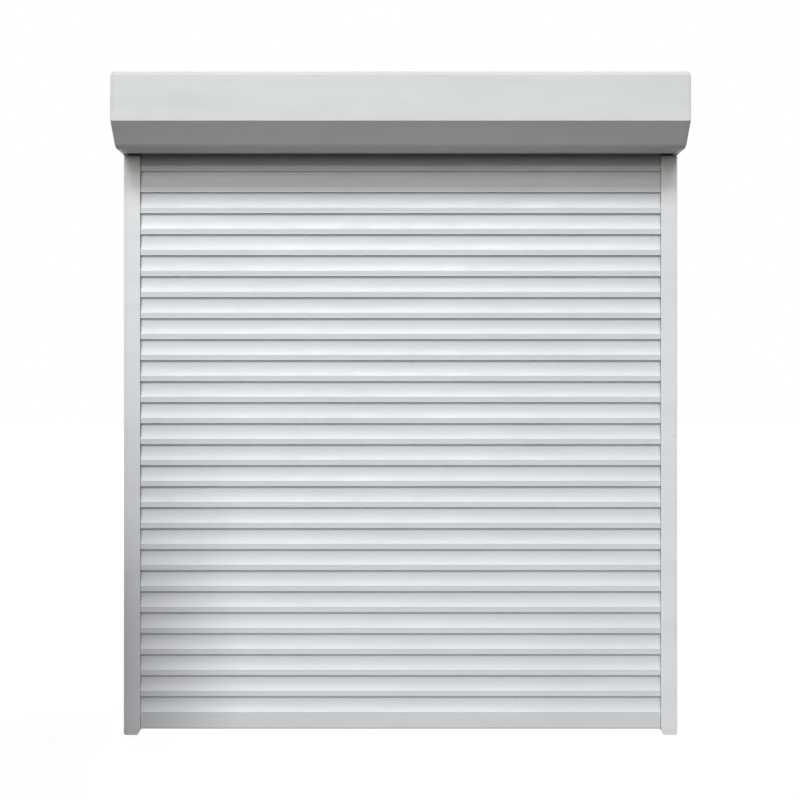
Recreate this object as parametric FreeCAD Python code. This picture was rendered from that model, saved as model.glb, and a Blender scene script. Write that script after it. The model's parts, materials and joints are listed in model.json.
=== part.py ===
import FreeCAD, Part

import math
import os

# Roller shutter door, in millimetres: X to the right, +Y towards the wall, Z up from the floor.
# The origin lies on the floor, midway across the door and midway through the depth of the box.

# Whole door
door_width = 2026.0
box_underside = 2120.0
screw_radius = 2.0
screw_head_radius = 4.4
screw_head_height = 2.4
screw_hole_clearance = 0.15
seat_clearance = 0.3

# Box: two end caps and three folded sheets
box_depth = 255.0
box_height = 255.0
facet_leg = 80.0
bevel_leg = 15.0
fold_radius = 40.0
sheet_thickness = 1.2
sheet_overlap = 12.0
slot_depth = 75.0
top_return = 12.0
end_cap_thickness = 8.0
end_cap_plate = 3.0
end_cap_border = 6.0
end_cap_edge_radius = 5.0
end_cap_rim_thickness = 2.5
end_cap_rim_length = 8.0
spigot_length = 50.0
cover_screw_length = 6.0

# Guide rails and their feet
rail_face_width = 60.0
rail_depth = 30.0
rail_wall = 2.0
rail_corner_radius = 1.5
chamber_width = 14.0
guide_groove_offset = 10.0
guide_groove_width = 1.6
guide_groove_depth = 0.8
rail_lip_thickness = 2.0
rail_lip_height = 2.2
seal_groove_width = 5.5
lowest_fixing = 150.0
highest_fixing_depth = 80.0
fixing_hole_radius = 3.25
access_hole_radius = 6.0
plug_head_radius = 6.8
plug_head_height = 0.8
plug_depth = 5.0
foot_height = 24.0
foot_floor = 3.0
foot_spigot_height = 20.0
foot_inner_chamfer_width = 12.0
foot_inner_chamfer_height = 20.0
foot_outer_chamfer = 6.0

# Curtain of interlocked hollow slats
slat_pitch = 77.0
lowest_joint = 62.7
curtain_thickness = 14.0
joint_band = 20.0
dish_depth = 3.2
rear_bow = 0.6
hook_front_shoulder = 1.9
hook_rear_shoulder = 3.1
slat_wall = 0.9
light_gap = 2.5
slat_engagement = 34.0
band_groove_height = 10.0
band_groove_half_width = 0.8
band_groove_depth = 0.4
channel_height = 9.0
lip_thickness = 1.2
lip_slot = 3.0
neck_thickness = 1.6
head_width = 4.4
head_clearance = 0.4
head_height = 3.0
seal_clearance = 0.3
lock_head = 2.0
lock_plug_length = 30.0
lock_margin = 0.8

# Bottom bar in two halves, its splice, end guides and seal
bar_underside = 24.5
bar_wall = 1.6
bar_front_gap = 0.9
bar_joint_side = 8.0
bar_joint_gap = 1.2
bar_end_gap = 0.8
bar_seal_groove_height = 3.4
bar_seal_groove_width = 10.0
bar_seal_slot = 6.0
seal_projection = 4.0
seal_width = 12.0
seal_fit = 0.3
splice_length = 120.0
splice_thickness = 5.0
guide_plug_length = 30.0

# Barrel, drive and bearing inside the box
barrel_across_flats = 70.0
barrel_wall = 1.2
barrel_motor_gap = 7.0
barrel_idler_gap = 25.0
barrel_fit = 0.15
running_clearance = 0.06
bracket_side = 90.0
bracket_corner_radius = 8.0
bracket_thickness = 3.0
bracket_hole_spacing = 66.0
boss_radius = 6.0
boss_height = 7.0
motor_radius = 22.5
motor_length = 560.0
motor_head_radius = 29.0
motor_head_length = 38.0
motor_head_chamfer = 3.0
motor_square = 10.0
motor_square_reach = 4.0
lead_inlet_radius = 5.0
lead_inlet_reach = 9.0
lead_inlet_bore_radius = 3.0
lead_inlet_bore_depth = 12.0
crown_length = 18.0
crown_offset = 2.0
drive_wheel_length = 18.0
drive_wheel_hole_radius = 6.5
drive_wheel_hole_circle = 21.0
output_shaft_radius = 6.0
output_shaft_grip = 20.0
output_wheel_gap = 2.0
idler_cap_length = 35.0
idler_cap_flange = 3.0
idler_cap_recess_radius = 28.0
idler_cap_hub_radius = 12.0
idler_cap_web = 5.0
pin_radius = 6.0
pin_grip = 30.0
bearing_outer_radius = 14.0
bearing_race_radius = 8.0
bearing_race_gap = 0.3
bearing_width = 9.0
bearing_offset = 1.0
bearing_cup_wall = 4.0
bearing_cup_length = 12.0

# Straps that hang the curtain from the barrel
strap_positions = (-600.0, 0.0, 600.0)
strap_width = 30.0
strap_thickness = 1.0

# Funnels above the rails, with a roller in front of the curtain
funnel_wall = 3.0
funnel_clearance = 1.5
funnel_front_height = 40.0
funnel_rear_height = 72.0
funnel_offset = 0.5
funnel_inner_setback = 2.0
roller_radius = 11.0
roller_length = 32.0
roller_gap = 0.5
roller_height = 58.0
roller_pin_radius = 4.0
roller_side_gap = 0.5
roller_pin_cap_radius = 5.5
roller_pin_cap_length = 2.0
roller_boss_radius = 9.0

# Planes that the pieces share
outer_side = door_width / 2
wall_plane = box_depth / 2
box_front = -box_depth / 2
box_top = box_underside + box_height
fold_end = box_front + facet_leg + fold_radius * math.tan(math.pi / 8)
rail_front = wall_plane - rail_depth
rail_inner_side = outer_side - rail_face_width
chamber_outer = outer_side - rail_wall
chamber_inner = chamber_outer - chamber_width
channel_floor = chamber_inner - rail_wall
guide_groove_side = outer_side - guide_groove_offset
curtain_plane = wall_plane - rail_depth / 2
curtain_front = curtain_plane - curtain_thickness / 2
curtain_rear = curtain_plane + curtain_thickness / 2
band_rear = curtain_rear - rear_bow
joint_plane = band_rear - slat_wall - head_clearance - head_width / 2
top_front = joint_plane - hook_front_shoulder
top_rear = joint_plane + hook_rear_shoulder
slat_end = rail_inner_side + slat_engagement
slat_top = slat_pitch - light_gap
slat_middle = (joint_band + slat_top) / 2
slat_count = math.ceil((box_underside - lowest_joint) / slat_pitch)
highest_fixing = box_underside - highest_fixing_depth
fixing_heights = (lowest_fixing, (lowest_fixing + highest_fixing) / 2, highest_fixing)
bar_front = curtain_front - bar_front_gap - bar_wall
bar_top = lowest_joint - light_gap
bar_end = rail_inner_side - bar_end_gap
barrel_height = box_underside + box_height / 2
cap_inner_side = outer_side - end_cap_thickness
plate_inner_side = outer_side - end_cap_plate
rim_inner_side = cap_inner_side - end_cap_rim_length
bracket_outer_side = plate_inner_side - boss_height
bracket_inner_side = bracket_outer_side - bracket_thickness
rim_inset = sheet_thickness + seat_clearance
head_inner_side = bracket_inner_side - motor_head_length
barrel_motor_end = head_inner_side - barrel_motor_gap
barrel_idler_end = -bracket_inner_side + barrel_idler_gap
barrel_apothem = barrel_across_flats / 2
barrel_bore_apothem = barrel_apothem - barrel_wall
motor_far_end = head_inner_side - motor_length
funnel_outer_side = min(rim_inner_side, chamber_inner) - funnel_offset
funnel_inner_side = rail_inner_side + funnel_inner_setback


def across(point):
    """Place a (y, z) point of a section that runs along the width of the door."""
    return FreeCAD.Vector(0, point[0], point[1])


def upright(point):
    """Place an (x, y) point of a section that runs up the door."""
    return FreeCAD.Vector(point[0], point[1], 0)


def outline(plane, start, *moves):
    """Join straight moves (a point) and arcs (a pair: a point on the arc, its end) into a closed wire."""
    edges = []
    here = start
    last = moves[-1][1] if isinstance(moves[-1][0], tuple) else moves[-1]
    closing = () if last == start else (start,)
    for move in moves + closing:
        if isinstance(move[0], tuple):
            middle, end = move
            edge = Part.Arc(plane(here), plane(middle), plane(end)).toShape()
        else:
            end = move
            edge = Part.LineSegment(plane(here), plane(end)).toShape()
        edges.append(edge)
        here = end
    return Part.Wire(edges)


def bar_across(wires, x_start, x_end):
    """Extrude a section in the (y, z) plane, holes after the outline, from x_start to x_end."""
    face = Part.makeFace(wires, "Part::FaceMakerBullseye")
    face.translate(FreeCAD.Vector(x_start, 0, 0))
    return face.extrude(FreeCAD.Vector(x_end - x_start, 0, 0))


def bar_upright(wires, z_start, z_end):
    """Extrude a section in the (x, y) plane, holes after the outline, from z_start to z_end."""
    face = Part.makeFace(wires, "Part::FaceMakerBullseye")
    face.translate(FreeCAD.Vector(0, 0, z_start))
    return face.extrude(FreeCAD.Vector(0, 0, z_end - z_start))


def block(x_range, y_range, z_range):
    """A block between two corners, given as ranges along X, Y and Z."""
    corner = FreeCAD.Vector(min(x_range), min(y_range), min(z_range))
    lengths = [max(span) - min(span) for span in (x_range, y_range, z_range)]
    return Part.makeBox(lengths[0], lengths[1], lengths[2], corner)


def rod_across(radius, x_start, x_end, y, z):
    """A round bar along X."""
    start = FreeCAD.Vector(min(x_start, x_end), y, z)
    return Part.makeCylinder(radius, abs(x_end - x_start), start, FreeCAD.Vector(1, 0, 0))


def rod_deep(radius, x, y_start, y_end, z):
    """A round bar along Y."""
    start = FreeCAD.Vector(x, min(y_start, y_end), z)
    return Part.makeCylinder(radius, abs(y_end - y_start), start, FreeCAD.Vector(0, 1, 0))


def rod_upright(radius, x, y, z_start, z_end):
    """A round bar along Z."""
    start = FreeCAD.Vector(x, y, min(z_start, z_end))
    return Part.makeCylinder(radius, abs(z_end - z_start), start, FreeCAD.Vector(0, 0, 1))


def mirrored(shape):
    """The same piece on the other side of the door."""
    return shape.mirror(FreeCAD.Vector(0, 0, 0), FreeCAD.Vector(1, 0, 0))


def unit(start, end):
    """The direction from one (y, z) point to another."""
    length = math.hypot(end[0] - start[0], end[1] - start[1])
    return ((end[0] - start[0]) / length, (end[1] - start[1]) / length)


def shifted_corner(before, corner, after, distance):
    """A corner of a path moved to the left of its direction of travel, mitred between its two runs."""
    d_in = unit(before, corner)
    d_out = unit(corner, after)
    n_in = (-d_in[1], d_in[0])
    n_out = (-d_out[1], d_out[0])
    scale = distance / (1 + n_in[0] * n_out[0] + n_in[1] * n_out[1])
    return (corner[0] + scale * (n_in[0] + n_out[0]), corner[1] + scale * (n_in[1] + n_out[1]))


def shifted_end(end, direction, distance):
    """An end of a path moved square to the left of a direction."""
    return (end[0] - direction[1] * distance, end[1] + direction[0] * distance)


def shifted_path(points, distance):
    """An open path moved to the left of its direction of travel."""
    first = shifted_end(points[0], unit(points[0], points[1]), distance)
    last = shifted_end(points[-1], unit(points[-2], points[-1]), distance)
    corners = [shifted_corner(*points[i - 1:i + 2], distance) for i in range(1, len(points) - 1)]
    return [first] + corners + [last]


def folded_strip(points, thickness):
    """The section of a folded sheet: its path and the same path moved left by its thickness."""
    other_side = shifted_path(points, thickness)
    section = list(points) + other_side[::-1]
    return outline(across, section[0], *section[1:])


def rounded_fold():
    """The (y, z) points of the fold between the sloped face and the underside, front to back."""
    angles = [math.radians(degrees) for degrees in (225.0, 236.25, 247.5, 258.75, 270.0)]
    centre_z = box_underside + fold_radius
    return [(fold_end + fold_radius * math.cos(a), centre_z + fold_radius * math.sin(a)) for a in angles]


def box_outline(inset):
    """The section of the box, moved inwards all round."""
    corners = [
        (wall_plane, box_underside),
        (wall_plane, box_top),
        (box_front + bevel_leg, box_top),
        (box_front, box_top - bevel_leg),
        (box_front, box_underside + facet_leg),
        *rounded_fold(),
    ]
    closed = [corners[-1]] + corners + [corners[0]]
    moved = [shifted_corner(*closed[i - 1:i + 2], inset) for i in range(1, len(closed) - 1)]
    return outline(across, moved[0], *moved[1:])


def octagon(apothem):
    """An octagon around the barrel axis, flat at the front, back, top and bottom."""
    radius = apothem / math.cos(math.pi / 8)
    angles = [math.pi / 8 + i * math.pi / 4 for i in range(8)]
    corners = [(radius * math.cos(a), barrel_height + radius * math.sin(a)) for a in angles]
    return outline(across, corners[0], *corners[1:])


def slat_hook(z):
    """The (y, z) points of a hook, front to rear, that stands on a level z below the joint above it."""
    seat = z + light_gap + lip_thickness
    half_neck = neck_thickness / 2
    half_head = head_width / 2
    return [
        (joint_plane - half_neck, z),
        (joint_plane - half_neck, seat),
        (joint_plane - half_head, seat),
        (joint_plane - half_head, seat + head_height),
        (joint_plane + half_head, seat + head_height),
        (joint_plane + half_head, seat),
        (joint_plane + half_neck, seat),
        (joint_plane + half_neck, z),
    ]


def dish_front(inset):
    """The (y, z) of the middle of a slat's dished front, moved inwards by an inset."""
    return ((curtain_front + top_front) / 2 + dish_depth + inset, slat_middle)


def bowed_rear(inset):
    """The (y, z) of the middle of a slat's bowed rear, moved inwards by an inset."""
    return (curtain_rear - inset, slat_middle)


def slat_section():
    """Outline and hollow of a slat whose lower edge lies at height 0."""
    half_slot = lip_slot / 2
    outer = outline(
        across,
        (curtain_front, 0),
        (curtain_front, band_groove_height - band_groove_half_width),
        (curtain_front + band_groove_depth, band_groove_height),
        (curtain_front, band_groove_height + band_groove_half_width),
        (curtain_front, joint_band),
        (dish_front(0), (top_front, slat_top)),
        *slat_hook(slat_top),
        (top_rear, slat_top),
        (bowed_rear(0), (band_rear, joint_band)),
        (band_rear, 0),
        (joint_plane + half_slot, 0),
        (joint_plane + half_slot, lip_thickness),
        (band_rear - slat_wall, lip_thickness),
        (band_rear - slat_wall, channel_height),
        (curtain_front + slat_wall, channel_height),
        (curtain_front + slat_wall, lip_thickness),
        (joint_plane - half_slot, lip_thickness),
        (joint_plane - half_slot, 0),
    )
    front = curtain_front + slat_wall
    rear = band_rear - slat_wall
    floor = channel_height + slat_wall
    roof = slat_top - slat_wall
    hollow = outline(
        across,
        (front, floor),
        (front, joint_band),
        (dish_front(slat_wall), (top_front + slat_wall, roof)),
        (top_rear - slat_wall, roof),
        (bowed_rear(slat_wall), (rear, joint_band)),
        (rear, floor),
    )
    return [outer, hollow]


def slat_height(index):
    """The height of the lower edge of a slat, counted from 1 at the bottom."""
    return lowest_joint + (index - 1) * slat_pitch


def slat(index):
    """One slat across the door, its ends inside the rails."""
    piece = bar_across(slat_section(), -slat_end, slat_end)
    piece.translate(FreeCAD.Vector(0, 0, slat_height(index)))
    return piece


def end_lock():
    """A lock in the right end of a slat at height 0: a plug in the hollow and a head outside it."""
    inset = slat_wall + lock_margin
    rear = band_rear - inset
    floor = channel_height + inset
    roof = slat_top - inset
    front_middle = dish_front(inset)
    rear_middle = bowed_rear(inset)
    front_top = (top_front + inset, roof)
    rear_top = (top_rear - inset, roof)
    plug_top = (slat_middle + roof) / 2
    plug_front = max(front_middle[0], front_top[0])
    plug = outline(
        across,
        (front_middle[0], joint_band),
        front_middle,
        (plug_front, plug_top),
        (rear_top[0], plug_top),
        rear_middle,
        (rear, joint_band),
    )
    head = outline(
        across,
        (curtain_front + inset, floor),
        (curtain_front + inset, joint_band),
        front_middle,
        front_top,
        rear_top,
        rear_middle,
        (rear, joint_band),
        (rear, floor),
    )
    body = bar_across([plug], slat_end - lock_plug_length, slat_end)
    return body.fuse(bar_across([head], slat_end, slat_end + lock_head)).removeSplitter()


def end_locks():
    """Locks in both ends of every other slat."""
    pieces = []
    for index in range(1, slat_count + 1, 2):
        lock = end_lock()
        lock.translate(FreeCAD.Vector(0, 0, slat_height(index)))
        pieces += [lock, mirrored(lock)]
    return Part.makeCompound(pieces)


def bar_section():
    """Outline and hollow of the bottom bar, with its front upstand and its seal groove."""
    middle = (bar_front + curtain_rear) / 2
    half_slot = bar_seal_slot / 2
    half_groove = bar_seal_groove_width / 2
    slot_top = bar_underside + bar_wall
    groove_top = slot_top + bar_seal_groove_height
    outer = outline(
        across,
        (bar_front, bar_underside),
        (bar_front, lowest_joint + joint_band),
        (bar_front + bar_wall, lowest_joint + joint_band),
        (bar_front + bar_wall, bar_top),
        *slat_hook(bar_top),
        (curtain_rear, bar_top),
        (curtain_rear, bar_underside),
        (middle + half_slot, bar_underside),
        (middle + half_slot, slot_top),
        (middle + half_groove, slot_top),
        (middle + half_groove, groove_top),
        (middle - half_groove, groove_top),
        (middle - half_groove, slot_top),
        (middle - half_slot, slot_top),
        (middle - half_slot, bar_underside),
    )
    return [outer, bar_hollow(0)]


def bar_hollow(clearance):
    """The hollow of the bottom bar, or what fits in it with a clearance all round."""
    front = bar_front + bar_wall + clearance
    rear = curtain_rear - bar_wall - clearance
    floor = bar_underside + 2 * bar_wall + bar_seal_groove_height + clearance
    roof = bar_top - bar_wall - clearance
    return outline(across, (front, floor), (front, roof), (rear, roof), (rear, floor))


def bottom_bar_right():
    """The right half of the bottom bar, from the joint near the middle to the rail."""
    return bar_across(bar_section(), bar_joint_side + bar_joint_gap / 2, bar_end)


def bottom_bar_left():
    """The left half of the bottom bar, from the rail to the joint near the middle."""
    return bar_across(bar_section(), -bar_end, bar_joint_side - bar_joint_gap / 2)


def bar_splice():
    """The flat bar inside the hollow that joins the two halves."""
    front = bar_front + bar_wall + seat_clearance
    floor = bar_underside + 2 * bar_wall + bar_seal_groove_height + seat_clearance
    roof = bar_top - bar_wall - seat_clearance
    start = bar_joint_side - splice_length / 2
    return block((start, start + splice_length), (front, front + splice_thickness), (floor, roof))


def bar_end_guide():
    """The plastic guide in the right end of the bar: a plug in the hollow and a runner in the rail."""
    plug = bar_across([bar_hollow(seat_clearance)], bar_end - guide_plug_length, bar_end + seat_clearance)
    runner = block(
        (bar_end + seat_clearance, slat_end),
        (curtain_front, curtain_rear),
        (bar_underside, bar_top),
    )
    return plug.fuse(runner).removeSplitter()


def bottom_seal():
    """The rubber strip in the groove under the bar."""
    middle = (bar_front + curtain_rear) / 2
    half_slot = bar_seal_slot / 2 - seal_fit
    half_groove = bar_seal_groove_width / 2 - seal_fit
    half_width = seal_width / 2
    slot_top = bar_underside + bar_wall + seal_fit
    groove_top = bar_underside + bar_wall + bar_seal_groove_height - seal_fit
    section = outline(
        across,
        (middle - half_width, bar_underside),
        ((middle, bar_underside - seal_projection), (middle + half_width, bar_underside)),
        (middle + half_slot, bar_underside),
        (middle + half_slot, slot_top),
        (middle + half_groove, slot_top),
        (middle + half_groove, groove_top),
        (middle - half_groove, groove_top),
        (middle - half_groove, slot_top),
        (middle - half_slot, slot_top),
        (middle - half_slot, bar_underside),
    )
    return bar_across([section], -bar_end, bar_end)


def rail_lips(wall_face, inward):
    """The (x, y) points of the two lips that hold a seal, from the mouth of the rail into the channel."""
    lip_top = wall_face + inward * rail_lip_height
    x_mouth = rail_inner_side
    x_groove = x_mouth + rail_lip_thickness
    x_inner_lip = x_groove + seal_groove_width
    x_end = x_inner_lip + rail_lip_thickness
    return [
        (x_mouth, lip_top),
        (x_groove, lip_top),
        (x_groove, wall_face),
        (x_inner_lip, wall_face),
        (x_inner_lip, lip_top),
        (x_end, lip_top),
        (x_end, wall_face),
    ]


def rail_section():
    """Section of the right rail: a closed chamber outside and a channel open towards the door."""
    front_lips = rail_lips(rail_front + rail_wall, 1)
    rear_lips = rail_lips(wall_plane - rail_wall, -1)
    half_groove = guide_groove_width / 2
    radius = rail_corner_radius
    bulge = radius * (1 - math.sqrt(0.5))
    outer = outline(
        upright,
        (rail_inner_side + radius, rail_front),
        (guide_groove_side - half_groove, rail_front),
        (guide_groove_side, rail_front + guide_groove_depth),
        (guide_groove_side + half_groove, rail_front),
        (outer_side - radius, rail_front),
        ((outer_side - bulge, rail_front + bulge), (outer_side, rail_front + radius)),
        (outer_side, wall_plane),
        (rail_inner_side, wall_plane),
        *rear_lips,
        (channel_floor, wall_plane - rail_wall),
        (channel_floor, rail_front + rail_wall),
        *front_lips[::-1],
        (rail_inner_side, rail_front + radius),
        ((rail_inner_side + bulge, rail_front + bulge), (rail_inner_side + radius, rail_front)),
    )
    chamber = outline(
        upright,
        (chamber_inner, rail_front + rail_wall),
        (chamber_outer, rail_front + rail_wall),
        (chamber_outer, wall_plane - rail_wall),
        (chamber_inner, wall_plane - rail_wall),
    )
    return [outer, chamber]


def guide_rail_right():
    """The right guide rail with its fixing holes in the wall side and access holes in the face."""
    rail = bar_upright(rail_section(), foot_height, box_underside)
    chamber_middle = (rail_front + wall_plane) / 2
    for height in fixing_heights:
        access = rod_deep(access_hole_radius, guide_groove_side, rail_front, chamber_middle, height)
        fixing = rod_deep(fixing_hole_radius, guide_groove_side, chamber_middle, wall_plane, height)
        rail = rail.cut(access).cut(fixing)
    return rail


def rail_seal(wall_face, tip):
    """One seal strip of the right rail, from the rail's wall to just short of the curtain."""
    x_start = rail_inner_side + rail_lip_thickness + seal_fit
    x_end = x_start + seal_groove_width - 2 * seal_fit
    return block((x_start, x_end), (wall_face, tip), (foot_height, box_underside))


def rail_seals():
    """Front and rear seal strips of both rails."""
    front = rail_seal(rail_front + rail_wall, curtain_front - seal_clearance)
    rear = rail_seal(wall_plane - rail_wall, curtain_rear + seal_clearance)
    return Part.makeCompound([front, rear, mirrored(front), mirrored(rear)])


def hole_plug(height):
    """The cap that closes one access hole in the face of the right rail."""
    shank_radius = access_hole_radius - seat_clearance
    head = rod_deep(plug_head_radius, guide_groove_side, rail_front - plug_head_height, rail_front, height)
    shank = rod_deep(shank_radius, guide_groove_side, rail_front, rail_front + plug_depth, height)
    return head.fuse(shank).removeSplitter()


def hole_plugs():
    """The caps of all the access holes."""
    pieces = [hole_plug(height) for height in fixing_heights]
    return Part.makeCompound(pieces + [mirrored(piece) for piece in pieces])


def foot_corner(x, z, x_reach, z_reach):
    """The wedge that is cut from a lower corner of a rail foot."""
    wedge = Part.makePolygon([
        FreeCAD.Vector(x, rail_front, z),
        FreeCAD.Vector(x + x_reach, rail_front, z),
        FreeCAD.Vector(x, rail_front, z + z_reach),
        FreeCAD.Vector(x, rail_front, z),
    ])
    return Part.Face(wedge).extrude(FreeCAD.Vector(0, rail_depth, 0))


def rail_foot():
    """The foot under the right rail: a floored tray with a spigot up into the rail's chamber."""
    body = block((rail_inner_side, outer_side), (rail_front, wall_plane), (0, foot_height))
    channel = block(
        (rail_inner_side, channel_floor),
        (rail_front + rail_wall, wall_plane - rail_wall),
        (foot_floor, foot_height),
    )
    spigot = block(
        (chamber_inner + seat_clearance, chamber_outer - seat_clearance),
        (rail_front + rail_wall + seat_clearance, wall_plane - rail_wall - seat_clearance),
        (foot_height, foot_height + foot_spigot_height),
    )
    inner_corner = foot_corner(rail_inner_side, 0, foot_inner_chamfer_width, foot_inner_chamfer_height)
    outer_corner = foot_corner(outer_side, 0, -foot_outer_chamfer, foot_outer_chamfer)
    foot = body.cut(channel).cut(inner_corner).cut(outer_corner)
    return foot.fuse(spigot).removeSplitter()


def rail_feet():
    """The feet under both rails."""
    foot = rail_foot()
    return Part.makeCompound([foot, mirrored(foot)])


def bracket_holes():
    """The (y, z) centres of the four screws of a bracket, square around the barrel axis."""
    half = bracket_hole_spacing / 2
    return [(y, barrel_height + z) for y in (-half, half) for z in (-half, half)]


def cover_screw_side():
    """How far from the middle of the door the screws of the sheets stand."""
    return (cap_inner_side + rim_inner_side) / 2


def cover_screw_places():
    """The (y, z, direction) of the screws of the sheets: down into the roof, up into the underside."""
    roof_y = (box_front / 2, wall_plane / 2)
    panel_y = fold_end + 2 * sheet_overlap
    slot_edge = wall_plane - slot_depth - 2 * sheet_overlap
    roof = [(y, box_top, -1) for y in roof_y]
    underside = [(y, box_underside, 1) for y in (panel_y, slot_edge)]
    return roof + underside


def end_cap_right():
    """The cast cap at the right end of the box, with its rim, bosses and rail spigot."""
    plate = bar_across([box_outline(0)], cap_inner_side, outer_side)
    outer_edges = [e for e in plate.Edges if all(abs(v.X - outer_side) < seat_clearance for v in e.Vertexes)]
    plate = plate.makeFillet(end_cap_edge_radius, outer_edges)
    pocket = bar_across([box_outline(end_cap_border)], cap_inner_side, plate_inner_side)
    rim_wires = [box_outline(rim_inset), box_outline(rim_inset + end_cap_rim_thickness)]
    rim = bar_across(rim_wires, rim_inner_side, cap_inner_side)
    spigot = block(
        (chamber_inner + seat_clearance, chamber_outer - seat_clearance),
        (rail_front + rail_wall + seat_clearance, wall_plane - rail_wall - seat_clearance),
        (box_underside - spigot_length, box_underside + rim_inset + end_cap_rim_thickness),
    )
    cap = plate.cut(pocket).fuse([rim, spigot])
    for y, z in bracket_holes():
        cap = cap.fuse(rod_across(boss_radius, bracket_outer_side, plate_inner_side, y, z))
    hole_radius = screw_radius + screw_hole_clearance
    for y, z in bracket_holes():
        cap = cap.cut(rod_across(hole_radius, bracket_outer_side, plate_inner_side, y, z))
    for y, z, direction in cover_screw_places():
        far = z + direction * (rim_inset + end_cap_rim_thickness)
        cap = cap.cut(rod_upright(hole_radius, cover_screw_side(), y, z, far))
    return cap.removeSplitter()


def with_screw_holes(sheet, places):
    """A sheet with the holes of its screws at both ends of the box."""
    hole_radius = screw_radius + screw_hole_clearance
    for y, z, direction in places:
        for side in (-cover_screw_side(), cover_screw_side()):
            sheet = sheet.cut(rod_upright(hole_radius, side, y, z, z + direction * rim_inset))
    return sheet


def cover_length():
    """Half the length of the sheets, which run between the two end caps."""
    return cap_inner_side - seat_clearance


def box_front_cover():
    """The folded front: top return, bevel, upright face, sloped face, rounded fold and lower return."""
    path = [
        (box_front + bevel_leg + top_return, box_top),
        (box_front + bevel_leg, box_top),
        (box_front, box_top - bevel_leg),
        (box_front, box_underside + facet_leg),
        *rounded_fold(),
        (fold_end + sheet_overlap, box_underside),
    ]
    return bar_across([folded_strip(path, sheet_thickness)], -cover_length(), cover_length())


def box_rear_cover():
    """The roof and back in one sheet, its front edge stepped down under the front cover's return."""
    step = sheet_thickness + seat_clearance
    lap_end = box_front + bevel_leg + top_return + seat_clearance
    lap_start = box_front + bevel_leg + seat_clearance
    path = [
        (wall_plane, box_underside + seat_clearance),
        (wall_plane, box_top),
        (lap_end + step, box_top),
        (lap_end, box_top - step),
        (lap_start, box_top - step),
    ]
    sheet = bar_across([folded_strip(path, sheet_thickness)], -rim_free_length(), rim_free_length())
    back_and_roof = path[:3]
    full = bar_across([folded_strip(back_and_roof, sheet_thickness)], -cover_length(), cover_length())
    sheet = sheet.fuse(full).removeSplitter()
    return with_screw_holes(sheet, [place for place in cover_screw_places() if place[2] < 0])


def rim_free_length():
    """Half the length of what lies inside the sheets and has to stop short of the rims."""
    return rim_inner_side - seat_clearance


def box_bottom_cover():
    """The level panel under the box: its front edge stepped up over the front cover's lower return."""
    step = sheet_thickness + seat_clearance
    lap_end = fold_end + sheet_overlap + seat_clearance
    slot_edge = wall_plane - slot_depth
    path = [
        (fold_end + seat_clearance, box_underside + step),
        (lap_end, box_underside + step),
        (lap_end + step, box_underside),
        (slot_edge, box_underside),
        (slot_edge, box_underside + sheet_overlap),
    ]
    sheet = bar_across([folded_strip(path, sheet_thickness)], -rim_free_length(), rim_free_length())
    tongue = bar_across([folded_strip(path[2:4], sheet_thickness)], -cover_length(), cover_length())
    sheet = sheet.fuse(tongue).removeSplitter()
    return with_screw_holes(sheet, [place for place in cover_screw_places() if place[2] > 0])


def box_screws():
    """The screws of the sheets and of the two brackets."""
    pieces = []
    for y, z, direction in cover_screw_places():
        head_end = z - direction * screw_head_height
        head = rod_upright(screw_head_radius, cover_screw_side(), y, z, head_end)
        shank = rod_upright(screw_radius, cover_screw_side(), y, z, z + direction * cover_screw_length)
        pieces.append(head.fuse(shank).removeSplitter())
    for y, z in bracket_holes():
        head_end = bracket_inner_side - screw_head_height
        head = rod_across(screw_head_radius, bracket_inner_side, head_end, y, z)
        shank = rod_across(screw_radius, bracket_inner_side, plate_inner_side - seat_clearance, y, z)
        pieces.append(head.fuse(shank).removeSplitter())
    return Part.makeCompound(pieces + [mirrored(piece) for piece in pieces])


def bracket_plate():
    """The square plate that carries one end of the barrel, at the right end of the box."""
    half = bracket_side / 2
    plate = block(
        (bracket_inner_side, bracket_outer_side),
        (-half, half),
        (barrel_height - half, barrel_height + half),
    )
    corners = [e for e in plate.Edges if abs(e.Vertexes[0].X - e.Vertexes[1].X) > bracket_thickness / 2]
    plate = plate.makeFillet(bracket_corner_radius, corners)
    for y, z in bracket_holes():
        hole_radius = screw_radius + screw_hole_clearance
        plate = plate.cut(rod_across(hole_radius, bracket_inner_side, bracket_outer_side, y, z))
    return plate


def square_across(side, x_start, x_end):
    """A square bar along X, centred on the barrel axis."""
    half = side / 2
    return block((x_start, x_end), (-half, half), (barrel_height - half, barrel_height + half))


def motor_bracket():
    """The motor's bracket, with the square hole that stops the motor from turning."""
    hole = square_across(motor_square + 2 * seat_clearance, bracket_inner_side, bracket_outer_side)
    return bracket_plate().cut(hole)


def motor_head():
    """The fixed head of the motor: its square, its collar and the inlet of its lead."""
    head = rod_across(motor_head_radius, head_inner_side, bracket_inner_side, 0, barrel_height)
    rims = [e for e in head.Edges if e.Closed]
    head = head.makeChamfer(motor_head_chamfer, rims)
    square = square_across(motor_square, bracket_inner_side, bracket_outer_side + motor_square_reach)
    middle = (head_inner_side + bracket_inner_side) / 2
    inlet_end = barrel_height - motor_head_radius - lead_inlet_reach
    inlet = rod_upright(lead_inlet_radius, middle, 0, inlet_end, barrel_height)
    bore = rod_upright(lead_inlet_bore_radius, middle, 0, inlet_end, inlet_end + lead_inlet_bore_depth)
    return head.fuse([square, inlet]).cut(bore).removeSplitter()


def motor_casing():
    """The tube of the motor, fixed to the head, with the bearing of its output shaft."""
    casing = rod_across(motor_radius, motor_far_end, head_inner_side, 0, barrel_height)
    bore_radius = output_shaft_radius + running_clearance
    return casing.cut(rod_across(
        bore_radius, motor_far_end, motor_far_end + output_shaft_grip + seat_clearance, 0, barrel_height))


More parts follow.
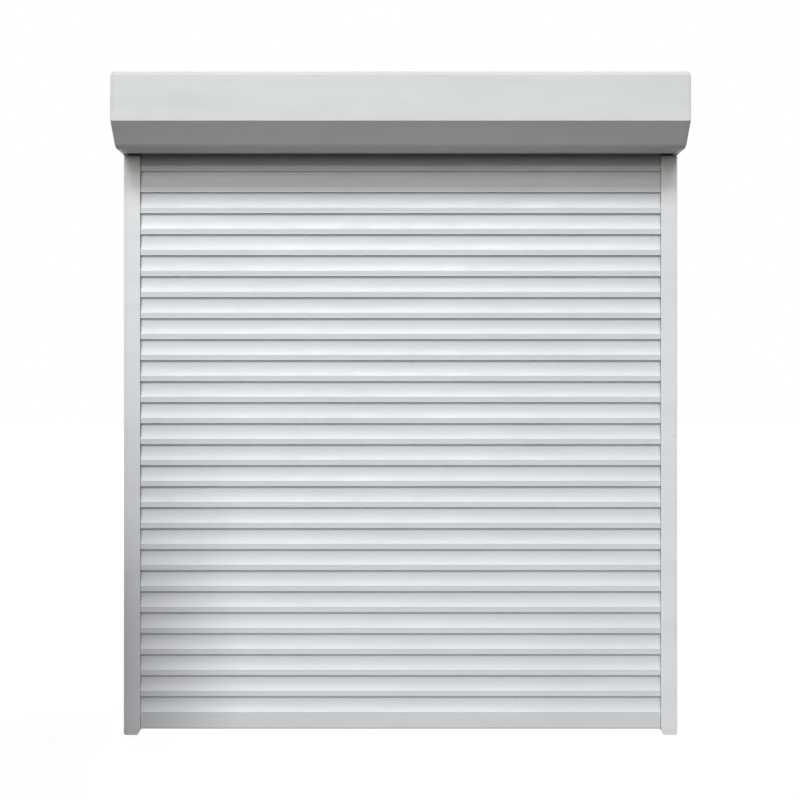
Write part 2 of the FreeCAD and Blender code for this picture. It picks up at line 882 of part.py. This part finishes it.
def motor_crown():
    """The ring that turns on the motor casing and carries the barrel at its motor end."""
    x_end = barrel_motor_end - crown_offset
    ring = bar_across([octagon(barrel_bore_apothem - barrel_fit)], x_end - crown_length, x_end)
    bore_radius = motor_radius + running_clearance
    return ring.cut(rod_across(bore_radius, x_end - crown_length, x_end, 0, barrel_height))


def drive_wheel():
    """The wheel that drives the barrel, in one with the motor's output shaft."""
    x_end = motor_far_end - output_wheel_gap
    x_start = x_end - drive_wheel_length
    wheel = bar_across([octagon(barrel_bore_apothem - barrel_fit)], x_start, x_end)
    for i in range(4):
        angle = i * math.pi / 2
        y = drive_wheel_hole_circle * math.cos(angle)
        z = barrel_height + drive_wheel_hole_circle * math.sin(angle)
        wheel = wheel.cut(rod_across(drive_wheel_hole_radius, x_start, x_end, y, z))
    shaft = rod_across(output_shaft_radius, x_start, motor_far_end + output_shaft_grip, 0, barrel_height)
    return wheel.fuse(shaft).removeSplitter()


def barrel_tube():
    """The octagonal tube that the curtain winds on."""
    wires = [octagon(barrel_apothem), octagon(barrel_bore_apothem)]
    return bar_across(wires, barrel_idler_end, barrel_motor_end)


def idler_cap():
    """The plug in the idler end of the barrel: a flange, a skirt in the tube and a hub for the pin."""
    x_flange = barrel_idler_end - idler_cap_flange
    x_end = barrel_idler_end + idler_cap_length
    flange = bar_across([octagon(barrel_apothem)], x_flange, barrel_idler_end)
    plug = bar_across([octagon(barrel_bore_apothem - barrel_fit)], barrel_idler_end, x_end)
    recess = rod_across(idler_cap_recess_radius, barrel_idler_end + idler_cap_web, x_end, 0, barrel_height)
    hub = rod_across(idler_cap_hub_radius, barrel_idler_end, x_end, 0, barrel_height)
    bore = rod_across(pin_radius + running_clearance, x_flange, x_end, 0, barrel_height)
    return flange.fuse(plug).cut(recess).fuse(hub).cut(bore).removeSplitter()


def bearing_ring(inner, outer):
    """One ring of the sealed ball bearing at the left end of the barrel."""
    x_start = -bracket_inner_side + bearing_offset
    x_end = x_start + bearing_width
    ring = rod_across(outer, x_start, x_end, 0, barrel_height)
    return ring.cut(rod_across(inner, x_start, x_end, 0, barrel_height))


def idler_pin():
    """The pin in the idler cap that turns in the bearing."""
    return rod_across(
        pin_radius, -bracket_inner_side + bearing_offset, barrel_idler_end + pin_grip, 0, barrel_height)


def bearing_housing():
    """The left bracket with the cup that holds the bearing."""
    plate = mirrored(bracket_plate())
    x_end = -bracket_inner_side + bearing_cup_length
    bore_radius = bearing_outer_radius + running_clearance
    cup = rod_across(bore_radius + bearing_cup_wall, -bracket_inner_side, x_end, 0, barrel_height)
    bore = rod_across(bore_radius, -bracket_inner_side, x_end, 0, barrel_height)
    return plate.fuse(cup.cut(bore)).removeSplitter()


def strap_section():
    """A strap hooked under the rear of the top slat's hook, then up to the barrel and over it."""
    top_joint = slat_height(slat_count) + slat_pitch
    neck_rear = joint_plane + neck_thickness / 2 + seat_clearance
    hook_rear = joint_plane + head_width / 2 + seat_clearance
    hook_underside = top_joint + lip_thickness - seat_clearance
    hook_top = top_joint + lip_thickness + head_height + seat_clearance
    radius = (barrel_apothem + seat_clearance) / math.cos(math.pi / 8)
    angles = [math.pi / 8 + i * math.pi / 4 for i in range(3)]
    corners = [(radius * math.cos(a), barrel_height + radius * math.sin(a)) for a in angles]
    path = [
        (neck_rear, hook_underside),
        (hook_rear, hook_underside),
        (hook_rear, hook_top),
        *corners,
    ]
    return folded_strip(path, -strap_thickness)


def suspension_straps():
    """The straps that hang the curtain from the barrel."""
    half = strap_width / 2
    pieces = [bar_across([strap_section()], x - half, x + half) for x in strap_positions]
    return Part.makeCompound(pieces)


def roller_axis():
    """The (y, z) of the inlet rollers, just in front of the curtain."""
    return (curtain_front - roller_gap - roller_radius, box_underside + roller_height)


def inlet_guide_right():
    """The funnel over the right rail that leads the slats into it, with the pin of its roller."""
    front_inner = curtain_front - funnel_clearance
    rear_inner = curtain_rear + funnel_clearance
    side = (funnel_outer_side - funnel_wall, funnel_outer_side)
    roller_y, roller_z = roller_axis()
    boss_span = (roller_z - roller_boss_radius, roller_z + roller_boss_radius)
    web = block(side, (front_inner - funnel_wall, rear_inner + funnel_wall),
                (box_underside, box_underside + funnel_rear_height))
    front_top = box_underside + funnel_front_height
    front = outline(
        across,
        (front_inner - funnel_wall, box_underside),
        (front_inner, box_underside),
        (front_inner, front_top - 2 * funnel_wall),
        (front_inner - funnel_wall / 2, front_top),
        (front_inner - funnel_wall, front_top),
    )
    front_wall = bar_across([front], funnel_inner_side, funnel_outer_side)
    rear_wall = block((funnel_inner_side, funnel_outer_side), (rear_inner, rear_inner + funnel_wall),
                      (box_underside, box_underside + funnel_rear_height))
    arm = block(side, (roller_y, front_inner), boss_span)
    boss = rod_across(roller_boss_radius, side[0], side[1], roller_y, roller_z)
    pin_end = side[0] - roller_length - 2 * roller_side_gap
    pin = rod_across(roller_pin_radius, side[0], pin_end, roller_y, roller_z)
    cap = rod_across(roller_pin_cap_radius, pin_end, pin_end - roller_pin_cap_length, roller_y, roller_z)
    return web.fuse([front_wall, rear_wall, arm, boss, pin, cap]).removeSplitter()


def inlet_roller_right():
    """The roller that keeps the right edge of the curtain off the funnel."""
    x_end = funnel_outer_side - funnel_wall - roller_side_gap
    x_start = x_end - roller_length
    roller_y, roller_z = roller_axis()
    roller = rod_across(roller_radius, x_start, x_end, roller_y, roller_z)
    bore = rod_across(roller_pin_radius + running_clearance, x_start, x_end, roller_y, roller_z)
    return roller.cut(bore)


def all_pieces():
    """Every piece of the door by name."""
    pieces = {
        "guide_rail_right": guide_rail_right(),
        "rail_seals": rail_seals(),
        "rail_hole_plugs": hole_plugs(),
        "rail_feet": rail_feet(),
        "end_cap_right": end_cap_right(),
        "box_front_cover": box_front_cover(),
        "box_rear_cover": box_rear_cover(),
        "box_bottom_cover": box_bottom_cover(),
        "box_screws": box_screws(),
        "inlet_guide_right": inlet_guide_right(),
        "inlet_roller_right": inlet_roller_right(),
        "motor_bracket": motor_bracket(),
        "motor_head": motor_head(),
        "motor_casing": motor_casing(),
        "motor_crown": motor_crown(),
        "drive_wheel": drive_wheel(),
        "barrel_tube": barrel_tube(),
        "idler_cap": idler_cap(),
        "idler_pin": idler_pin(),
        "bearing_housing": bearing_housing(),
        "bearing_outer_ring": bearing_ring(bearing_race_radius + bearing_race_gap, bearing_outer_radius),
        "bearing_inner_ring": bearing_ring(pin_radius + running_clearance, bearing_race_radius),
        "suspension_straps": suspension_straps(),
        "slat_end_locks": end_locks(),
        "bottom_bar_left": bottom_bar_left(),
        "bottom_bar_right": bottom_bar_right(),
        "bottom_bar_splice": bar_splice(),
        "bottom_seal": bottom_seal(),
    }
    for name in ("guide_rail", "end_cap", "inlet_guide", "inlet_roller"):
        pieces[name + "_left"] = mirrored(pieces[name + "_right"])
    guide = bar_end_guide()
    pieces["bottom_bar_end_guides"] = Part.makeCompound([guide, mirrored(guide)])
    for index in range(1, slat_count + 1):
        pieces[f"slat_{index:02d}"] = slat(index)
    return pieces


os.makedirs("parts", exist_ok=True)
for name, shape in all_pieces().items():
    shape.exportStep(f"parts/{name}.step")
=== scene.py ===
import json
import math

import bmesh
import bpy
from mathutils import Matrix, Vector


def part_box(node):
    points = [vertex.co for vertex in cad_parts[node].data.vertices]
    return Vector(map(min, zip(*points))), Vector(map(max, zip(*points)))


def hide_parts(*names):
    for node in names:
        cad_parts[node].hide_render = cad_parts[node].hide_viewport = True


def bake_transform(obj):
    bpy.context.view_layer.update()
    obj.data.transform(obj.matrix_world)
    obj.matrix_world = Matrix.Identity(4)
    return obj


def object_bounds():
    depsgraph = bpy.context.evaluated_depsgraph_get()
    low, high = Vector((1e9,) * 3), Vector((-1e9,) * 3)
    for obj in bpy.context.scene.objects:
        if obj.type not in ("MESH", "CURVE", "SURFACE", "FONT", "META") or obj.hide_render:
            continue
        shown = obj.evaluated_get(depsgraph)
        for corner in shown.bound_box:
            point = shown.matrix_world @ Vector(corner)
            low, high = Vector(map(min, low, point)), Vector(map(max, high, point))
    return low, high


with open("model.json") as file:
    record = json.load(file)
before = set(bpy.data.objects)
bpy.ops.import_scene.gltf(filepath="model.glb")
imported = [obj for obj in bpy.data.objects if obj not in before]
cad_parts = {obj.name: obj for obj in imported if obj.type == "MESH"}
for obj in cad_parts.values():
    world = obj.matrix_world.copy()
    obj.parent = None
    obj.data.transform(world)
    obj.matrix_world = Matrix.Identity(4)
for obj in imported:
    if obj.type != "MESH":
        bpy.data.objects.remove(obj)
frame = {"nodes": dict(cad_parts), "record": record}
cad_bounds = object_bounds()

# View of the photograph: distances in metres, the lens in millimetres, the tilt from straight down
camera_distance = 4.5
camera_height = 1.226
camera_side = -0.002
camera_lens = 58.1
camera_tilt = math.radians(90)

white = (1.0, 1.0, 1.0)

# Lamps: a large soft box high in front of the door, two weaker ones lower down and one behind the door.
# Distances and sizes are in metres, powers in watts, elevations in degrees up from level and azimuths in
# degrees to the right of straight ahead.
lamps = {
    "key": dict(
        distance=90.0, elevation=44.0, azimuth=-3.0,
        width=48.9, height=21.0, power=53500.0, tint=(0.985, 1.0, 1.045)),
    "fill": dict(
        distance=60.0, elevation=12.5, azimuth=-8.0,
        width=34.2, height=26.0, power=7900.0, tint=(1.0, 0.985, 0.88)),
    "mid": dict(
        distance=60.0, elevation=29.0, azimuth=-5.0,
        width=32.0, height=12.0, power=6500.0, tint=(1.0, 0.99, 0.95)),
    "rear": dict(
        distance=60.0, elevation=25.0, azimuth=205.0,
        width=30.0, height=30.0, power=24000.0, tint=white),
}

# Board that keeps some of the key light off the lower left corner: how far it stands from the wall plane
# towards the lamp, where the shadow of its corner falls on that plane, and its width
flag_reach = 1.3
flag_edge_x = -0.91
flag_edge_z = 0.62
flag_width = 0.7

# Surround: its light on the door, and how bright it and the far floor are where they are seen
surround_level = 0.20
white_level = 1.0

# Floor: the colour of the light that it throws back. Where it is seen, its own glow rises to white between
# two distances from the door, and a share of the lamps' light on top shows the door's shadow.
floor_bounce = (0.055, 0.048, 0.042)
floor_near = 2.5
floor_far = 6.0
floor_glow_near = 0.92
floor_shade = 0.12
floor_reach = 60.0

# Noise: the range that most of it lies in, and the stretch that leaves it even
noise_low = 0.3
noise_high = 0.7
even = (1.0, 1.0, 1.0)

# Coated metal: mottling, gloss, grain and waves
coated_darkest = 0.94
mottle_stretch = (0.4, 2.0, 2.0)
mottle_scale = 6.0
gloss_stretch = (1.0, 3.0, 3.0)
gloss_scale = 9.0
coated_swing = 0.05
coated_grain_scale = 900.0
wave_stretch = (0.5, 4.0, 4.0)
wave_scale = 5.0
coating_detail = 1.0
lacquer_roughness = 0.3

# Bare metal: streaks
bare_darkest = 0.85
streak_scale = 120.0
streak_depth = 0.00002
bare_swing = 0.08

# Moulded plastic: patches and grain
plastic_darkest = 0.9
patch_scale = 40.0
plastic_grain_scale = 1500.0
plastic_grain_detail = 2.0
plastic_grain_depth = 0.00004
plastic_swing = 0.06

# Rubber: lines along its length
rubber_darkest = 0.8
line_stretch = (1.0, 60.0, 60.0)
line_scale = 20.0
line_depth = 0.00003
rubber_roughness = 0.7
rubber_swing = 0.1

# Edges sharper than this stay crisp
smooth_angle = math.radians(30)

# Straps: the angles of the barrel's flats and of the last corner they pass, and how finely they are divided
flat_angle = math.radians(45)
last_corner = flat_angle / 2
strap_wrap = 2 * flat_angle
strap_divisions = 12
weld_distance = 0.000001


# Shader helpers

def cleared_tree(owner, output_type):
    """The node tree of a material or a world, with nothing in it but its output, and that output."""
    owner.use_nodes = True
    tree = owner.node_tree
    tree.nodes.clear()
    return tree, tree.nodes.new(output_type)


def new_material(name):
    """A material with a bare Principled shader, its node tree and the shader."""
    material = bpy.data.materials.new(name)
    tree, output = cleared_tree(material, "ShaderNodeOutputMaterial")
    shader = tree.nodes.new("ShaderNodeBsdfPrincipled")
    tree.links.new(shader.outputs["BSDF"], output.inputs["Surface"])
    return material, tree, shader


def stretched_noise(tree, stretch, scale, detail=3.0):
    """Noise over the object's own coordinates, stretched along each axis; the noise's factor output."""
    place = tree.nodes.new("ShaderNodeTexCoord")
    mapping = tree.nodes.new("ShaderNodeMapping")
    mapping.inputs["Scale"].default_value = stretch
    noise = tree.nodes.new("ShaderNodeTexNoise")
    noise.inputs["Scale"].default_value = scale
    noise.inputs["Detail"].default_value = detail
    tree.links.new(place.outputs["Object"], mapping.inputs["Vector"])
    tree.links.new(mapping.outputs["Vector"], noise.inputs["Vector"])
    return noise.outputs["Fac"]


def from_range_to_range(tree, value, before, after):
    """A value taken from one range to another and held within it."""
    change = tree.nodes.new("ShaderNodeMapRange")
    change.inputs["From Min"].default_value = before[0]
    change.inputs["From Max"].default_value = before[1]
    change.inputs["To Min"].default_value = after[0]
    change.inputs["To Max"].default_value = after[1]
    tree.links.new(value, change.inputs["Value"])
    return change.outputs["Result"]


def spread(tree, factor, low=0.0, high=1.0):
    """Noise, spread from low to high."""
    return from_range_to_range(tree, factor, (noise_low, noise_high), (low, high))


def vary_colour(tree, shader, factor, colour, darkest):
    """Let a factor from 0 to 1 take the base colour from its darkest share to all of it."""
    mix = tree.nodes.new("ShaderNodeMix")
    mix.data_type = "RGBA"
    mix.inputs["A"].default_value = (*(darkest * share for share in colour), 1)
    mix.inputs["B"].default_value = (*colour, 1)
    tree.links.new(factor, mix.inputs["Factor"])
    tree.links.new(mix.outputs["Result"], shader.inputs["Base Color"])


def vary_roughness(tree, shader, factor, roughness, swing):
    """Let noise swing the roughness about its middle."""
    tree.links.new(spread(tree, factor, roughness - swing, roughness + swing), shader.inputs["Roughness"])


def bump(tree, shader, heights):
    """Bumps on a shader: each pair of a height factor and its depth in metres, one after another."""
    normal = None
    for height, depth in heights:
        node = tree.nodes.new("ShaderNodeBump")
        node.inputs["Distance"].default_value = depth
        tree.links.new(height, node.inputs["Height"])
        if normal is not None:
            tree.links.new(normal, node.inputs["Normal"])
        normal = node.outputs["Normal"]
    tree.links.new(normal, shader.inputs["Normal"])


# Finishes

def coated_metal(name, colour, roughness, grain_depth, wave_depth=0.0, lacquer=0.15):
    """Coated aluminium: faint orange-peel grain, long shallow waves along X, slight mottling, a lacquer."""
    material, tree, shader = new_material(name)
    mottle = spread(tree, stretched_noise(tree, mottle_stretch, mottle_scale))
    vary_colour(tree, shader, mottle, colour, coated_darkest)
    gloss = stretched_noise(tree, gloss_stretch, gloss_scale)
    vary_roughness(tree, shader, gloss, roughness, coated_swing)
    grain = stretched_noise(tree, even, coated_grain_scale, coating_detail)
    wave = stretched_noise(tree, wave_stretch, wave_scale, coating_detail)
    bump(tree, shader, [(wave, wave_depth), (grain, grain_depth)])
    shader.inputs["Coat Weight"].default_value = lacquer
    shader.inputs["Coat Roughness"].default_value = lacquer_roughness
    return material


def bare_metal(name, colour, roughness, stretch=even):
    """Bare metal, with fine streaks along the axis it was drawn or rolled on."""
    material, tree, shader = new_material(name)
    shader.inputs["Metallic"].default_value = 1.0
    streak = spread(tree, stretched_noise(tree, stretch, streak_scale))
    vary_colour(tree, shader, streak, colour, bare_darkest)
    vary_roughness(tree, shader, streak, roughness, bare_swing)
    bump(tree, shader, [(streak, streak_depth)])
    return material


def moulded_plastic(name, colour, roughness):
    """Moulded plastic with a fine spark-eroded grain."""
    material, tree, shader = new_material(name)
    patch = spread(tree, stretched_noise(tree, even, patch_scale))
    vary_colour(tree, shader, patch, colour, plastic_darkest)
    grain = stretched_noise(tree, even, plastic_grain_scale, plastic_grain_detail)
    vary_roughness(tree, shader, grain, roughness, plastic_swing)
    bump(tree, shader, [(grain, plastic_grain_depth)])
    return material


def soft_rubber(name, colour):
    """Extruded rubber: dull, with faint lines along its length."""
    material, tree, shader = new_material(name)
    line = spread(tree, stretched_noise(tree, line_stretch, line_scale))
    vary_colour(tree, shader, line, colour, rubber_darkest)
    vary_roughness(tree, shader, line, rubber_roughness, rubber_swing)
    bump(tree, shader, [(line, line_depth)])
    return material


def finishes():
    """One material for each material slot of the record."""
    looks = {
        "rail_coating": (coated_metal, dict(
            colour=(0.71, 0.72, 0.74), roughness=0.42, grain_depth=0.00003)),
        "box_coating": (coated_metal, dict(
            colour=(0.665, 0.69, 0.69), roughness=0.55,
            grain_depth=0.00002, wave_depth=0.0008, lacquer=0.0)),
        "slat_coating": (coated_metal, dict(
            colour=(0.612, 0.630, 0.665), roughness=0.42,
            grain_depth=0.00002, wave_depth=0.0004, lacquer=0.22)),
        "bar_coating": (coated_metal, dict(
            colour=(0.60, 0.625, 0.645), roughness=0.42, grain_depth=0.00003)),
        "motor_coating": (coated_metal, dict(
            colour=(0.76, 0.76, 0.74), roughness=0.4, grain_depth=0.00002)),
        "zinc_steel": (bare_metal, dict(colour=(0.70, 0.72, 0.74), roughness=0.35)),
        "galvanised_tube": (bare_metal, dict(
            colour=(0.62, 0.64, 0.66), roughness=0.4, stretch=(0.05, 1.0, 1.0))),
        "spring_steel": (bare_metal, dict(
            colour=(0.13, 0.145, 0.17), roughness=0.5, stretch=(1.0, 0.1, 0.1))),
        "bearing_steel": (bare_metal, dict(colour=(0.80, 0.80, 0.80), roughness=0.15)),
        "die_cast": (bare_metal, dict(colour=(0.58, 0.59, 0.60), roughness=0.55)),
        "cap_plastic": (moulded_plastic, dict(colour=(0.70, 0.71, 0.73), roughness=0.5)),
        "black_plastic": (moulded_plastic, dict(colour=(0.03, 0.03, 0.033), roughness=0.5)),
        "roller_plastic": (moulded_plastic, dict(colour=(0.68, 0.68, 0.65), roughness=0.4)),
        "seal_strip": (soft_rubber, dict(colour=(0.47, 0.48, 0.49))),
        "seal_rubber": (soft_rubber, dict(colour=(0.55, 0.56, 0.57))),
    }
    return {slot: finish(slot, **look) for slot, (finish, look) in looks.items()}


def dress_nodes(materials):
    """Give each CAD node its finish and smooth its curved faces."""
    slots = {part["node"]: part["material_slot"] for part in frame["record"]["subparts"]}
    for name, node in frame["nodes"].items():
        node.data.materials.clear()
        node.data.materials.append(materials[slots[name]])
        node.data.shade_smooth()
        node.data.set_sharp_from_angle(angle=smooth_angle)


# Pieces

def add_object(name, data):
    """An object with its data, linked to the scene."""
    added = bpy.data.objects.new(name, data)
    bpy.context.collection.objects.link(added)
    return added


def cut(shape, place, normal):
    """Cut a mesh's faces along a plane, so that they can bend there."""
    everything = shape.verts[:] + shape.edges[:] + shape.faces[:]
    bmesh.ops.bisect_plane(shape, geom=everything, dist=weld_distance, plane_co=place, plane_no=normal)


def divide_straps(shape, axis, run_bottom, run_top):
    """Divide the straps across: by angle where they lie on the barrel, by height where they hang."""
    for index in range(1, strap_divisions):
        share = index / strap_divisions
        angle = last_corner + strap_wrap * share
        cut(shape, axis, (0, -math.sin(angle), math.cos(angle)))
        cut(shape, (0, 0, run_bottom + (run_top - run_bottom) * share), (0, 0, 1))


def round_over_barrel(shape, axis):
    """Move what lies on the barrel's flats out to the circle of its corners, clear of them as they turn."""
    for vertex in shape.verts:
        y = vertex.co.y - axis.y
        z = vertex.co.z - axis.z
        angle = math.atan2(z, y)
        if angle > last_corner:
            off_middle = (angle + last_corner) % flat_angle - last_corner
            outwards = math.cos(off_middle) / math.cos(last_corner)
            vertex.co.y = axis.y + y * outwards
            vertex.co.z = axis.z + z * outwards


def straps():
    """The straps, which on the door swing up with the top slat: here a copy, divided across, with what lies
    on the barrel's flats moved out to the circle of its corners, in place of their CAD node.
    """
    mesh = frame["nodes"]["suspension_straps"].data.copy()
    low, high = (Vector(corner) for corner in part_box("suspension_straps"))
    barrel_low, barrel_high = (Vector(corner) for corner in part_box("barrel_tube"))
    axis = (barrel_low + barrel_high) / 2
    shape = bmesh.new()
    shape.from_mesh(mesh)
    divide_straps(shape, axis, low.z, axis.z + barrel_high.y * math.tan(last_corner))
    round_over_barrel(shape, axis)
    shape.to_mesh(mesh)
    shape.free()
    mesh.set_sharp_from_angle(angle=smooth_angle)
    piece = add_object("straps", mesh)
    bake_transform(piece)
    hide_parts("suspension_straps")


# Stage

def camera():
    """The camera, level and square to the door."""
    lens = bpy.data.cameras.new("camera")
    lens.lens = camera_lens
    holder = add_object("camera", lens)
    front = cad_bounds[0][1]
    holder.location = (camera_side, front - camera_distance, camera_height)
    holder.rotation_euler = (camera_tilt, 0, 0)
    bpy.context.scene.camera = holder


def towards(elevation, azimuth):
    """The direction from the door to a lamp, in degrees up from level and to the right of straight ahead."""
    up = math.radians(elevation)
    side = math.radians(azimuth)
    return Vector((math.sin(side) * math.cos(up), -math.cos(side) * math.cos(up), math.sin(up)))


def soft_box(name, distance, elevation, azimuth, width, height, power, tint):
    """A rectangular lamp at a distance in a direction, aimed at the middle of the door."""
    low, high = (Vector(corner) for corner in cad_bounds)
    away = towards(elevation, azimuth)
    lamp = bpy.data.lights.new(name, "AREA")
    lamp.shape = "RECTANGLE"
    lamp.size = width
    lamp.size_y = height
    lamp.energy = power
    lamp.color = tint
    holder = add_object(name, lamp)
    holder.location = (low + high) / 2 + away * distance
    holder.rotation_euler = (-away).to_track_quat("-Z", "Y").to_euler()


def sheet(name, corners):
    """A flat piece of the stage; its corners come in two rows that run the same way."""
    mesh = bpy.data.meshes.new(name)
    mesh.from_pydata(corners, [], [(0, 1, 3, 2)])
    return add_object(name, mesh)


def flag():
    """A board in front of the lower left corner, out of sight, that keeps some of the key light off it."""
    away = towards(lamps["key"]["elevation"], lamps["key"]["azimuth"])
    wall = cad_bounds[1][1]
    corner = Vector((flag_edge_x, wall, flag_edge_z)) + away * flag_reach
    sides = (corner.x - flag_width, corner.x)
    board = sheet("flag", [(x, corner.y, z) for z in (0, corner.z) for x in sides])
    board.visible_camera = False
    board.visible_diffuse = False
    board.visible_glossy = False
    board.visible_transmission = False


def seen_directly(tree):
    """A factor that is 1 on what the camera sees, straight, in a gloss or through glass, and 0 for light."""
    path = tree.nodes.new("ShaderNodeLightPath")
    seen = path.outputs["Is Camera Ray"]
    for ray in ("Is Glossy Ray", "Is Transmission Ray"):
        either = tree.nodes.new("ShaderNodeMath")
        either.operation = "MAXIMUM"
        tree.links.new(seen, either.inputs[0])
        tree.links.new(path.outputs[ray], either.inputs[1])
        seen = either.outputs["Value"]
    return seen


def surround():
    """A low even light from all sides, which looks white."""
    world = bpy.data.worlds.new("surround")
    tree, output = cleared_tree(world, "ShaderNodeOutputWorld")
    background = tree.nodes.new("ShaderNodeBackground")
    background.inputs["Color"].default_value = (*white, 1)
    strength = from_range_to_range(tree, seen_directly(tree), (0, 1), (surround_level, white_level))
    tree.links.new(strength, background.inputs["Strength"])
    tree.links.new(background.outputs["Background"], output.inputs["Surface"])
    bpy.context.scene.world = world


def diffuse(tree, colour):
    """The output of a plain diffuse shader."""
    shader = tree.nodes.new("ShaderNodeBsdfDiffuse")
    shader.inputs["Color"].default_value = (*colour, 1)
    return shader.outputs["BSDF"]


def white_floor(tree):
    """A shader that looks white but for the door's own shadow near it; its output."""
    place = tree.nodes.new("ShaderNodeTexCoord")
    distance = tree.nodes.new("ShaderNodeVectorMath")
    distance.operation = "LENGTH"
    tree.links.new(place.outputs["Object"], distance.inputs[0])
    glow = tree.nodes.new("ShaderNodeEmission")
    glow_level = from_range_to_range(
        tree, distance.outputs["Value"], (floor_near, floor_far), (floor_glow_near, white_level))
    tree.links.new(glow_level, glow.inputs["Strength"])
    both = tree.nodes.new("ShaderNodeAddShader")
    tree.links.new(diffuse(tree, (floor_shade, floor_shade, floor_shade)), both.inputs[0])
    tree.links.new(glow.outputs["Emission"], both.inputs[1])
    return both.outputs["Shader"]


def floor():
    """A floor that looks white and throws a little warm light back on the door."""
    ends = (-floor_reach, floor_reach)
    plane = sheet("floor", [(x, y, 0) for y in ends for x in ends])
    material = bpy.data.materials.new("floor")
    tree, output = cleared_tree(material, "ShaderNodeOutputMaterial")
    mix = tree.nodes.new("ShaderNodeMixShader")
    tree.links.new(seen_directly(tree), mix.inputs["Fac"])
    tree.links.new(diffuse(tree, floor_bounce), mix.inputs[1])
    tree.links.new(white_floor(tree), mix.inputs[2])
    tree.links.new(mix.outputs["Shader"], output.inputs["Surface"])
    plane.data.materials.append(material)


camera()
for lamp_name, settings in lamps.items():
    soft_box(lamp_name, **settings)
flag()
surround()
floor()
dress_nodes(finishes())
straps()

bpy.context.scene.view_settings.view_transform = "Standard"
